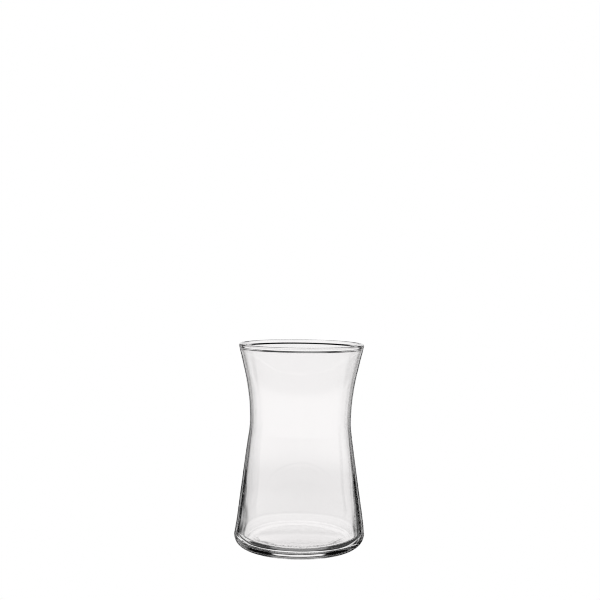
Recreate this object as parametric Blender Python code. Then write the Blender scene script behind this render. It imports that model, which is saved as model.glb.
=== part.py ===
"""Tea glass: a waisted, stemless glass tumbler with a flared mouth and a heavy rounded foot.

The whole glass is one solid of revolution about +Z. It stands on z = 0, with its axis on x = y = 0.
Its outline is drawn once and turned round the axis by a Screw modifier. The outside is arcs and straight
runs, and the inside is the outside less a wall thickness that changes smoothly with height.
Lengths below are in millimetres and become metres in the mesh.
"""
import math

import bpy
import numpy as np

MM = 0.001

# Outside, from the mouth down
HEIGHT = 92.0
RIM_BEAD_RADIUS = 0.85      # flame-polished round bead on the lip; outside, it runs on from the flare
BEAD_WRAP = 20.0            # degrees that the bead turns back below its middle, on the inner side
BEAD_BLEND = 1.3            # height over which it blends into the inner wall
FLARE_SLOPE = 13.0          # degrees from vertical, the straight run under the lip
FLARE_ARC_RADIUS = 94.0     # hollow curve between the waist and the flare
WAIST_HEIGHT = 56.8
WAIST_RADIUS = 23.0
HIP_ARC_RADIUS = 37.0       # hollow curve under the waist
SKIRT_SLOPE = 7.8           # degrees from vertical, the straight run down to the foot
HEEL_RADIUS = 5.6           # round between the skirt and the underside

# Underside
BEARING_WIDTH = 3.3         # flat ring that the glass stands on
PUNT_RISE = 0.13            # very shallow hollow inside that ring

# Inside: height and wall thickness, from the mouth down; the wall is drawn smoothly towards these
WALL = ((96, 0.60), (80, 0.66), (66, 0.72), (55, 0.82), (46, 1.10), (38, 1.32), (31, 1.58),
        (25, 2.00), (20, 2.20), (15, 2.50), (10, 2.80), (5, 3.10))
CORNER_HEIGHT = 6.8         # where the wall ends and the round down to the floor begins
CORNER_RADIUS = 3.1
FLOOR_CROWN = 0.8           # the floor stands this much higher on the axis

# Facets
TURN_STEPS = 64
BEAD_STEPS = 10
BLEND_STEPS = 3
FLARE_STEPS = 7
HIP_STEPS = 3
HEEL_STEPS = 9
WALL_STEPS = 24
CORNER_STEPS = 5
DOME_STEPS = 4


def arc(centre, radius, start, end, steps):
    """Points (r, z) round an arc, angles in degrees counted from +r towards +z."""
    angles = np.radians(np.linspace(start, end, steps + 1))
    return np.column_stack((centre[0] + radius * np.cos(angles), centre[1] + radius * np.sin(angles)))


def crown(edge, rise, steps):
    """A shallow dome from an edge point (r, z) to the axis, z rising with 1 - (r / edge r) squared."""
    r = np.linspace(edge[0], 0.0, steps + 1)
    return np.column_stack((r, edge[1] + rise * (1.0 - (r / edge[0]) ** 2)))


def smooth(knots, height):
    """A cubic B-spline drawn towards knots (height, value), falling in height, read at the given heights.

    The end knots count three times, so that the curve starts and ends on them.
    """
    knots = np.array(knots, float)
    knots = np.vstack((knots[:1], knots[:1], knots, knots[-1:], knots[-1:]))
    t = np.linspace(0.0, 1.0, 16, endpoint=False)
    cubics = ((1 - t) ** 3, 3 * t ** 3 - 6 * t ** 2 + 4, -3 * t ** 3 + 3 * t ** 2 + 3 * t + 1, t ** 3)
    spans = np.stack([knots[i:len(knots) - 3 + i] for i in range(4)], axis=1)
    curve = np.einsum("kt,skv->stv", np.array(cubics) / 6, spans).reshape(-1, 2)[::-1]
    return np.interp(height, curve[:, 0], curve[:, 1])


def outer_wall():
    """From under the bead to the bottom of the heel, on the outer side."""
    flare_centre = (WAIST_RADIUS + FLARE_ARC_RADIUS, WAIST_HEIGHT)
    flare = arc(flare_centre, FLARE_ARC_RADIUS, 180.0 - FLARE_SLOPE, 180.0, FLARE_STEPS)
    hip_centre = (WAIST_RADIUS + HIP_ARC_RADIUS, WAIST_HEIGHT)
    hip = arc(hip_centre, HIP_ARC_RADIUS, 180.0, 180.0 + SKIRT_SLOPE, HIP_STEPS)[1:]
    slope = math.radians(SKIRT_SLOPE)
    heel_top = HEEL_RADIUS * (1.0 + math.sin(slope))
    skirt_end_radius = hip[-1, 0] + (hip[-1, 1] - heel_top) * math.tan(slope)
    heel_centre = (skirt_end_radius - HEEL_RADIUS * math.cos(slope), HEEL_RADIUS)
    heel = arc(heel_centre, HEEL_RADIUS, SKIRT_SLOPE, -90.0, HEEL_STEPS)
    return np.vstack((flare, hip, heel))


def outer_radius(wall, height):
    """Radius of the outside at heights above the heel, going on straight above the flare's top."""
    above = wall[0, 0] + (height - wall[0, 1]) * math.tan(math.radians(FLARE_SLOPE))
    return np.where(height > wall[0, 1], above, np.interp(height, wall[::-1, 1], wall[::-1, 0]))


def inside(wall, bead_end):
    """From under the bead down the inner wall, round the corner and over the floor to the axis.

    At the top, half a cosine wave takes in how far the bead stands proud of the wall.
    """
    top = bead_end[1]
    z = np.concatenate((np.linspace(top, top - BEAD_BLEND, BLEND_STEPS + 1)[1:],
                        np.linspace(top - BEAD_BLEND, CORNER_HEIGHT, WALL_STEPS + 1)[1:]))
    r = outer_radius(wall, z) - smooth(WALL, z)
    proud = float(outer_radius(wall, top) - smooth(WALL, top)) - bead_end[0]
    r -= proud * (0.5 + 0.5 * np.cos(np.pi * np.clip((top - z) / BEAD_BLEND, 0.0, 1.0)))
    corner = arc((r[-1] - CORNER_RADIUS, CORNER_HEIGHT), CORNER_RADIUS, 0.0, -90.0, CORNER_STEPS)[1:]
    floor = crown(corner[-1], FLOOR_CROWN, DOME_STEPS)[1:]
    return np.vstack((np.column_stack((r, z)), corner, floor))


def outline():
    """The closed half section: up the inside, over the bead, down the outside and in under the foot."""
    wall = outer_wall()
    bead_height = HEIGHT - RIM_BEAD_RADIUS
    reach = RIM_BEAD_RADIUS / math.cos(math.radians(FLARE_SLOPE))
    bead_middle = (float(outer_radius(wall, np.array(bead_height))) - reach, bead_height)
    bead = arc(bead_middle, RIM_BEAD_RADIUS, 180.0 + BEAD_WRAP, -FLARE_SLOPE, BEAD_STEPS)
    ring_edge = (wall[-1, 0] - BEARING_WIDTH, 0.0)
    punt = crown(ring_edge, PUNT_RISE, DOME_STEPS)
    return np.vstack((inside(wall, bead[0])[::-1], bead, wall, punt))


def glass_material():
    """Clear soda-lime glass, smooth from the mould and the flame."""
    material = bpy.data.materials.new("clear_soda_lime_glass")
    material.use_nodes = True
    shader = material.node_tree.nodes["Principled BSDF"]
    shader.inputs["Base Color"].default_value = (0.93, 0.94, 0.93, 1.0)
    shader.inputs["Roughness"].default_value = 0.02
    shader.inputs["Metallic"].default_value = 0.0
    shader.inputs["IOR"].default_value = 1.52
    shader.inputs["Transmission Weight"].default_value = 1.0
    return material


def turned_glass():
    """The half section as a chain of edges, turned a full circle about Z into one closed body."""
    points = outline() * MM
    verts = [(r, 0.0, z) for r, z in points.tolist()]
    edges = [(i, i + 1) for i in range(len(verts) - 1)]
    mesh = bpy.data.meshes.new("glass")
    mesh.from_pydata(verts, edges, [])
    mesh.materials.append(glass_material())
    glass = bpy.data.objects.new("glass", mesh)
    bpy.context.collection.objects.link(glass)
    turn = glass.modifiers.new("turn", "SCREW")
    turn.steps = TURN_STEPS
    turn.render_steps = TURN_STEPS
    turn.use_merge_vertices = True
    turn.merge_threshold = 0.00001
    turn.use_smooth_shade = True
    return glass


for old in list(bpy.data.objects):
    bpy.data.objects.remove(old)
turned_glass()
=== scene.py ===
"""Looks of a clear, waisted tea glass that stands empty.

The glass is one closed surface, worked out as whole arrays over two parameters: the way along its half
section, and the angle round its axis. Lengths are in millimetres, and become metres in the mesh. The
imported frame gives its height. The section is drawn from the mouth down as arcs and straight runs outside,
and as the outside less a smoothly changing wall thickness inside.
"""
import math
from collections import namedtuple

import bpy
import numpy as np
from mathutils import Matrix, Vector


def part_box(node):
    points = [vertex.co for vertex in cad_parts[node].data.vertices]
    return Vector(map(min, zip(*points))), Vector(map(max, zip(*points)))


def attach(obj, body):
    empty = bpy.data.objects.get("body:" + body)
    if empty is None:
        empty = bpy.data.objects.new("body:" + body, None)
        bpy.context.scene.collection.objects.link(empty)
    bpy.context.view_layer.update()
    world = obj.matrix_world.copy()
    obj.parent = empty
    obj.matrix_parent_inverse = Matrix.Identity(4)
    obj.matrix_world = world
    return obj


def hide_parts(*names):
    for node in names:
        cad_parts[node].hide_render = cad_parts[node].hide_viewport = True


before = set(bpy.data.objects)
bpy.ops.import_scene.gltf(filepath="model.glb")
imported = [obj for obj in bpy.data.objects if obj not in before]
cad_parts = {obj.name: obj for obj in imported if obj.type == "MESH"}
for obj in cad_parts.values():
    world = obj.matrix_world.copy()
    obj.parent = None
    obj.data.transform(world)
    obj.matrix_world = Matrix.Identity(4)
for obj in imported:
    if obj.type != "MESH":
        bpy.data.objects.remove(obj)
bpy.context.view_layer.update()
glass_low, glass_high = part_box("glass")

MM = 0.001

# Outside, from the mouth down
HEIGHT = (glass_high.z - glass_low.z) / MM
BEAD_RADIUS = 0.85          # flame-polished round bead on the rim
BEAD_WRAP = 20.0            # degrees that the bead turns back below its middle, on the inner side
BEAD_BLEND = 1.3            # height over which it blends into the wall there
FLARE_SLOPE = 13.0          # degrees from upright, straight stretch under the bead
FLARE_ARC = 94.0            # hollow curve between the waist and the flare
WAIST_HEIGHT = 56.8
WAIST_RADIUS = 23.0
HIP_ARC = 37.0              # hollow curve under the waist
SKIRT_SLOPE = 7.8           # degrees from upright, straight stretch down to the foot
HEEL_RADIUS = 5.6           # round between the skirt and the underside

# Inside: knots of height and wall thickness, then the round between wall and floor
WALL_KNOTS = ((96, 0.60), (80, 0.66), (66, 0.72), (55, 0.82), (46, 1.10), (38, 1.32), (31, 1.58),
              (25, 2.0), (20, 2.2), (15, 2.5), (10, 2.8), (5, 3.1))
CORNER_HEIGHT = 6.8
CORNER_RADIUS = 3.1
FLOOR_CROWN = 0.8           # the floor stands this much higher on the axis

# The glass is not quite true: knots of height and how far the whole sits to +X, and how much further the
# hollow in it does
LEAN_KNOTS = ((96, 0.27), (60, 0.27), (50, 0.05), (42, 0.05), (30, 0.2), (20, 0.3), (12, 0.5), (6, 0.25),
              (0, -0.1))
HOLLOW_KNOTS = ((96, 0.0), (22, 0.0), (5, 0.05))

# Underside
RING_WIDTH = 3.3            # flat ring that the glass stands on
STEP_WIDTH = 3.0            # soft step up from that ring
STEP_RISE = 0.05
PUNT_RISE = 0.08            # the plate inside it rises this much more to the axis
STIPPLE_RADIUS = 19.2       # band of small dents that the mould leaves on that step
STIPPLE_HALF_WIDTH = 1.5
STIPPLE_DEPTH = 0.3
STIPPLE_COUNTS = (40, 120)  # fewest waves round the glass, and one more than the most
STIPPLE_CREST = 0.5         # how much of the summed waves lies flat
STIPPLE_FRONT = 1.2         # the dents are deep towards the front
STIPPLE_ASIDE = 0.1         # and this deep at the sides
STIPPLE_CEILING = 1.0       # the band is on the underside only, so below this height
STIPPLE_SEED = 7

# Points along the section and round the glass; the wall's are closer below FINE_WALL
FLARE_POINTS = 14
HIP_POINTS = 9
SKIRT_POINTS = 8
HEEL_POINTS = 24
BEAD_POINTS = 24
NECK_POINTS = 8
BLEND_POINTS = 9
UPPER_WALL_POINTS = 28
LOWER_WALL_POINTS = 44
FINE_WALL = 30.0
CORNER_POINTS = 13
FLOOR_POINTS = 12
RING_POINTS = 3
STEP_POINTS = 13
PUNT_POINTS = 8
AROUND = 448

# Glass: index, and the length and height of the faint ripple
GLASS_INDEX = 1.52
RIPPLE_LENGTH = 9.0
RIPPLE_HEIGHT = 0.004

# Camera: place, degrees below level, degrees rolled anticlockwise seen from behind it, lens and sensor
CAMERA_PLACE = (-0.7, -472.5, 124.95)
CAMERA_TILT = 1.61
CAMERA_ROLL = 0.708
LENS = 62.6
SENSOR = 36.0
BOUNCES = 128
FILTER_WIDTH = 1.0          # narrow, so that thin lines stay crisp

# Floor and dome in metres, which only the camera sees
FLOOR_SIZE = 20
DOME_RADIUS = 8

# A studio as directions seen from the glass: azimuth 0 is straight behind it and grows to the left, and
# elevation 0 is level. Each light is a soft-edged window in the dark, in degrees: its middle azimuth and half
# width, its lowest and highest elevation, how soft its sides and ends are, and last its strength.
Light = namedtuple("Light", "middle half low high side_soft end_soft strength")
LIGHTS = (
    Light(0, 16, -12.9, 16.5, 2.0, 2.0, 0.97),     # backdrop
    Light(0, 20, -17.4, -12.9, 2.5, 2.0, 0.83),    # where backdrop meets table, wider and darker
    Light(0, 16, -31, -17.4, 2.5, 2.0, 0.94),      # table, far part
    Light(0, 13, -53, -31, 3.0, 2.0, 1.0),         # table, near part
    Light(29.5, 4, -12.5, 4, 1.5, 2.0, 0.45),      # strip between two flags on the left
    Light(-29.5, 4, -12.5, 4, 1.5, 2.0, 0.45),     # and on the right
    Light(60, 13, -20, 4, 4.0, 3.0, 0.6),          # wall on the left
    Light(-60, 13, -20, 4, 4.0, 3.0, 0.6),         # and on the right
    Light(47, 15, -38, -18, 4.0, 3.0, 0.85),       # table to the left
    Light(180, 106, -40, 4, 4.0, 4.0, 0.8),        # walls further round and in front
    Light(0, 200, 61, 95, 5.0, 3.0, 0.35),         # overhead sheet
    Light(0, 200, -95, -62, 5.0, 3.0, 0.2),        # table right under the glass
)
DARK = 0.003                # what is left between the lights


def arc(centre, radius, start, end, count):
    """Points (r, z) evenly round an arc: centre + radius * (cos, sin) of angles in degrees."""
    angle = np.radians(np.linspace(start, end, count))
    return np.column_stack((centre[0] + radius * np.cos(angle), centre[1] + radius * np.sin(angle)))


def run(start, end, count):
    """Points evenly along a straight run, both ends left out."""
    along = np.linspace(0.0, 1.0, count + 2)[1:-1, None]
    return (1.0 - along) * np.asarray(start) + along * np.asarray(end)


def crown(edge, rise, count):
    """A shallow dome from its edge to the axis: z = edge z + rise * (1 - (r / edge r) squared)."""
    r = np.linspace(edge[0], 0.0, count)
    return np.column_stack((r, edge[1] + rise * (1.0 - (r / edge[0]) ** 2)))


def drawn(knots, height):
    """A cubic B-spline drawn towards knots (height, value), falling in height, read at the given heights.

    Each piece of the spline is the four nearest knots weighted by the B-spline's four cubics, and the end
    knots count three times, so that it starts and ends on them."""
    knots = np.asarray(knots, float)
    knots = np.vstack((knots[:1], knots[:1], knots, knots[-1:], knots[-1:]))
    t = np.linspace(0.0, 1.0, 16, endpoint=False)[:, None, None]
    cubics = ((1 - t) ** 3, 3 * t ** 3 - 6 * t ** 2 + 4, -3 * t ** 3 + 3 * t ** 2 + 3 * t + 1, t ** 3)
    curve = sum(cubic / 6 * knots[None, i:len(knots) - 3 + i] for i, cubic in enumerate(cubics))
    curve = curve.transpose(1, 0, 2).reshape(-1, 2)[::-1]
    return np.interp(height, curve[:, 0], curve[:, 1])


def outer_wall():
    """From under the bead to the bottom of the heel: flare arc, hip arc, straight skirt and round heel."""
    flare = arc((WAIST_RADIUS + FLARE_ARC, WAIST_HEIGHT), FLARE_ARC, 180 - FLARE_SLOPE, 180, FLARE_POINTS)
    hip = arc((WAIST_RADIUS + HIP_ARC, WAIST_HEIGHT), HIP_ARC, 180, 180 + SKIRT_SLOPE, HIP_POINTS)[1:]
    slope = math.radians(SKIRT_SLOPE)
    skirt_end_height = HEEL_RADIUS * (1 + math.sin(slope))
    skirt_end = hip[-1][0] + (hip[-1][1] - skirt_end_height) * math.tan(slope)
    heel_centre = (skirt_end - HEEL_RADIUS * math.cos(slope), HEEL_RADIUS)
    heel = arc(heel_centre, HEEL_RADIUS, SKIRT_SLOPE, -90, HEEL_POINTS)
    return np.vstack((flare, hip, run(hip[-1], heel[0], SKIRT_POINTS), heel))


def outer_radius(wall, height):
    """Radius of the outside at heights above the heel, going on straight above the flare's first point."""
    above = wall[0, 0] + (height - wall[0, 1]) * math.tan(math.radians(FLARE_SLOPE))
    return np.where(height > wall[0, 1], above, np.interp(height, wall[::-1, 1], wall[::-1, 0]))


def inside(wall, bead_end):
    """Down the inner wall, round the corner and to the axis. The wall is the outside less its thickness.

    From the bead's end down, half a cosine wave takes in how far the bead stands proud of the wall."""
    top = bead_end[1]
    z = np.concatenate((np.linspace(top, top - BEAD_BLEND, BLEND_POINTS)[1:-1],
                        np.linspace(top - BEAD_BLEND, FINE_WALL, UPPER_WALL_POINTS),
                        np.linspace(FINE_WALL, CORNER_HEIGHT, LOWER_WALL_POINTS)[1:]))
    r = outer_radius(wall, z) - drawn(WALL_KNOTS, z)
    proud = float(outer_radius(wall, top) - drawn(WALL_KNOTS, top)) - bead_end[0]
    r -= proud * (0.5 + 0.5 * np.cos(np.pi * np.clip((top - z) / BEAD_BLEND, 0, 1)))
    corner = arc((r[-1] - CORNER_RADIUS, z[-1]), CORNER_RADIUS, 0, -90, CORNER_POINTS)[1:]
    floor = crown(corner[-1], FLOOR_CROWN, FLOOR_POINTS)[1:]
    return np.vstack((np.column_stack((r, z)), corner, floor))


def underside(heel_end):
    """Over the ring, up a soft step of half a cosine wave, and up a shallow dome to the axis."""
    ring_edge = np.array((heel_end[0] - RING_WIDTH, 0.0))
    along = np.linspace(0.0, 1.0, STEP_POINTS)
    rise = STEP_RISE * (0.5 - 0.5 * np.cos(np.pi * along))
    step = ring_edge + np.column_stack((-STEP_WIDTH * along, rise))
    punt = crown(step[-1], PUNT_RISE, PUNT_POINTS)[1:]
    return np.vstack((run(heel_end, ring_edge, RING_POINTS), step, punt))


def half_section():
    """The closed half section: up the inside, over the bead, down the outside and in to the axis again.

    The bead's outer side runs straight on from the flare, and its inner side stands proud of the wall."""
    wall = outer_wall()
    bead_height = HEIGHT - BEAD_RADIUS
    reach = BEAD_RADIUS / math.cos(math.radians(FLARE_SLOPE))
    bead_middle = (float(outer_radius(wall, np.array(bead_height))) - reach, bead_height)
    bead = arc(bead_middle, BEAD_RADIUS, 180 + BEAD_WRAP, -FLARE_SLOPE, BEAD_POINTS)
    climb = inside(wall, bead[0])[::-1]
    descent = np.vstack((run(bead[-1], wall[0], NECK_POINTS), wall, underside(wall[-1])))
    return np.vstack((climb, bead, descent)), len(climb)


def stipple(radius, height, angle):
    """Height of the dents: uneven waves round the glass, faded out at the band's edges and towards the back.

    Each row of points has waves of its own, three cosines of whole counts round the glass with odd phases,
    and only their high crests are kept, so that dents are short, unlike and apart. Across the band they fade
    as 1 - (distance from its middle / half width) squared, and round it with the sine of the angle."""
    rng = np.random.default_rng(STIPPLE_SEED)
    counts = rng.integers(*STIPPLE_COUNTS, (len(radius), 3, 1))
    phases = rng.uniform(0, 2 * np.pi, (len(radius), 3, 1))
    crests = np.clip(np.cos(counts * angle + phases).sum(axis=1) - STIPPLE_CREST, 0, None)
    across = np.clip(1 - ((radius - STIPPLE_RADIUS) / STIPPLE_HALF_WIDTH) ** 2, 0, None)
    across *= height < STIPPLE_CEILING
    front = np.clip(STIPPLE_ASIDE - STIPPLE_FRONT * np.sin(angle), 0, 1)
    return STIPPLE_DEPTH * crests * across[:, None] * front


def turned(name, section, hollow_rows):
    """The section turned round Z, closed on the axis at both ends.

    For a point's radius r and angle a: x = r cos a + how far its height is off centre, y = r sin a."""
    angle = np.linspace(0, 2 * np.pi, AROUND, endpoint=False)
    off_centre = drawn(LEAN_KNOTS, section[:, 1])
    off_centre[:hollow_rows] += drawn(HOLLOW_KNOTS, section[:hollow_rows, 1])
    radius, height = section[1:-1].T
    x = radius[:, None] * np.cos(angle) + off_centre[1:-1, None]
    y = radius[:, None] * np.sin(angle)
    z = height[:, None] + stipple(radius, height, angle)
    ring_points = np.stack((x, y, z), axis=-1).reshape(-1, 3)
    poles = np.column_stack((off_centre, np.zeros(len(section)), section[:, 1]))[[0, -1]]
    here = np.arange(AROUND)
    there = np.roll(here, -1)
    start = AROUND * np.arange(len(radius) - 1)[:, None]
    quads = np.stack((start + here, start + here + AROUND, start + there + AROUND, start + there), axis=-1)
    first_pole = AROUND * len(radius)
    last_row = first_pole - AROUND
    first_fan = np.stack((np.full(AROUND, first_pole), here, there), axis=-1)
    last_fan = np.stack((np.full(AROUND, first_pole + 1), last_row + there, last_row + here), axis=-1)
    faces = quads.reshape(-1, 4).tolist() + first_fan.tolist() + last_fan.tolist()
    mesh = bpy.data.meshes.new(name)
    mesh.from_pydata((np.vstack((ring_points, poles)) * MM).tolist(), [], faces)
    mesh.polygons.foreach_set("use_smooth", np.ones(len(mesh.polygons), bool))
    piece = bpy.data.objects.new(name, mesh)
    bpy.context.collection.objects.link(piece)
    return piece


def node(tree, kind, inputs=(), **settings):
    """Adds a node with its settings. Inputs are socket: value, where the value may be another's output."""
    made = tree.nodes.new(kind)
    for name, value in settings.items():
        setattr(made, name, value)
    for key, value in dict(inputs).items():
        if isinstance(value, bpy.types.NodeSocket):
            tree.links.new(value, made.inputs[key])
        else:
            made.inputs[key].default_value = value
    return made


def linear(colour):
    """An sRGB hex colour as linear RGBA.

    Each channel c is c / 12.92 when it is dark, and else ((c + 0.055) / 1.055) to the power 2.4."""
    c = np.array([int(colour[i:i + 2], 16) for i in (1, 3, 5)]) / 255
    return (*np.where(c <= 0.04045, c / 12.92, ((c + 0.055) / 1.055) ** 2.4).tolist(), 1.0)


def soda_lime_glass():
    """Soda-lime glass, pressed and flame-polished: clear and glossy, with the faint ripple of the mould.

    The ripple is some millimetres long and one or two thousandths of a millimetre high. It only shows where
    the wall bends light strongly, as a slight waver of the dark and bright lines there."""
    material = bpy.data.materials.new("pressed_soda_lime_glass")
    material.use_nodes = True
    tree = material.node_tree
    shader = tree.nodes["Principled BSDF"]
    shader.inputs["Base Color"].default_value = linear("#FFFEFE")
    shader.inputs["Roughness"].default_value = 0.0
    shader.inputs["IOR"].default_value = GLASS_INDEX
    shader.inputs["Transmission Weight"].default_value = 1.0
    place = node(tree, "ShaderNodeTexCoord").outputs["Object"]
    inputs = {"Vector": place, "Scale": 1 / (RIPPLE_LENGTH * MM), "Detail": 1.0}
    ripple = node(tree, "ShaderNodeTexNoise", inputs)
    inputs = {"Height": ripple.outputs["Fac"], "Strength": 1.0, "Distance": RIPPLE_HEIGHT * MM}
    bump = node(tree, "ShaderNodeBump", inputs)
    tree.links.new(bump.outputs["Normal"], shader.inputs["Normal"])
    return material


def bright_card(name):
    """Matt white card lit evenly, so that it keeps one tone wherever the camera stands."""
    material = bpy.data.materials.new(name)
    material.use_nodes = True
    tree = material.node_tree
    tree.nodes.clear()
    glow = node(tree, "ShaderNodeEmission", {"Color": linear("#FFFFFF"), "Strength": 1.0})
    node(tree, "ShaderNodeOutputMaterial", {"Surface": glow.outputs["Emission"]})
    return material


def studio():
    """The light that the glass bends and mirrors, with a smooth step across each light's sides and ends.

    The lights are added up. Where the camera looks straight at the studio, past the cards, it sees white."""
    world = bpy.data.worlds.new("studio")
    bpy.context.scene.world = world
    world.use_nodes = True
    tree = world.node_tree
    tree.nodes.clear()

    def calc(operation, a, b):
        return node(tree, "ShaderNodeMath", {0: a, 1: b}, operation=operation).outputs["Value"]

    def step(value, dark, bright):
        inputs = {"Value": value, "From Min": dark, "From Max": bright}
        return node(tree, "ShaderNodeMapRange", inputs, interpolation_type="SMOOTHSTEP").outputs["Result"]

    direction = node(tree, "ShaderNodeTexCoord").outputs["Generated"]
    height = node(tree, "ShaderNodeSeparateXYZ", {"Vector": direction}).outputs["Z"]
    level = node(tree, "ShaderNodeVectorMath", {0: direction, 1: (1, 1, 0)}, operation="MULTIPLY")
    level = node(tree, "ShaderNodeVectorMath", {0: level.outputs["Vector"]}, operation="NORMALIZE")
    elevation = calc("MULTIPLY", calc("ARCSINE", height, 0.0), math.degrees(1))
    total = DARK
    for light in LIGHTS:
        azimuth = math.radians(light.middle)
        towards = (-math.sin(azimuth), math.cos(azimuth), 0)
        inputs = {0: level.outputs["Vector"], 1: towards}
        facing = node(tree, "ShaderNodeVectorMath", inputs, operation="DOT_PRODUCT").outputs["Value"]
        aside = calc("MULTIPLY", calc("ARCCOSINE", facing, 0.0), math.degrees(1))
        within = step(aside, light.half + light.side_soft, light.half - light.side_soft)
        above = step(elevation, light.low - light.end_soft, light.low + light.end_soft)
        below = step(elevation, light.high + light.end_soft, light.high - light.end_soft)
        glow = calc("MULTIPLY", calc("MULTIPLY", within, above), below)
        total = calc("ADD", calc("MULTIPLY", glow, light.strength), total)
    seen = node(tree, "ShaderNodeLightPath").outputs["Is Camera Ray"]
    total = calc("MAXIMUM", total, seen)
    sky = node(tree, "ShaderNodeBackground", {"Color": linear("#FFFFFF"), "Strength": total})
    node(tree, "ShaderNodeOutputWorld", {"Surface": sky.outputs["Background"]})


def stage_cards():
    """A pale floor and a pale dome, which only the camera sees. The glass sees the studio's lights."""
    bpy.ops.mesh.primitive_plane_add(size=FLOOR_SIZE)
    floor = bpy.context.object
    floor.name = "floor"
    bpy.ops.mesh.primitive_uv_sphere_add(radius=DOME_RADIUS)
    dome = bpy.context.object
    dome.name = "backdrop"
    for card in (floor, dome):
        card.data.materials.append(bright_card("white_" + card.name))
        card.visible_transmission = False
        card.visible_glossy = False
        card.visible_shadow = False
        card.visible_diffuse = False


def camera():
    """A long lens from the front, a little above the rim and looking slightly down."""
    lens = bpy.data.cameras.new("camera")
    lens.sensor_width = SENSOR
    lens.lens = LENS
    eye = bpy.data.objects.new("camera", lens)
    bpy.context.collection.objects.link(eye)
    tilt = Matrix.Rotation(math.radians(90 - CAMERA_TILT), 4, "X")
    roll = Matrix.Rotation(math.radians(CAMERA_ROLL), 4, "Z")
    eye.matrix_world = Matrix.Translation([MM * value for value in CAMERA_PLACE]) @ tilt @ roll
    bpy.context.scene.camera = eye


def light_paths():
    """Thick glass passes light on many times before it leaves, so paths may be long."""
    scene = bpy.context.scene
    scene.view_settings.view_transform = "Standard"
    scene.cycles.max_bounces = BOUNCES
    scene.cycles.transmission_bounces = BOUNCES
    scene.cycles.glossy_bounces = BOUNCES
    scene.cycles.filter_width = FILTER_WIDTH


glass = turned("tea_glass", *half_section())
glass.data.materials.append(soda_lime_glass())
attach(glass, "root")
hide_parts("glass")
stage_cards()
studio()
camera()
light_paths()
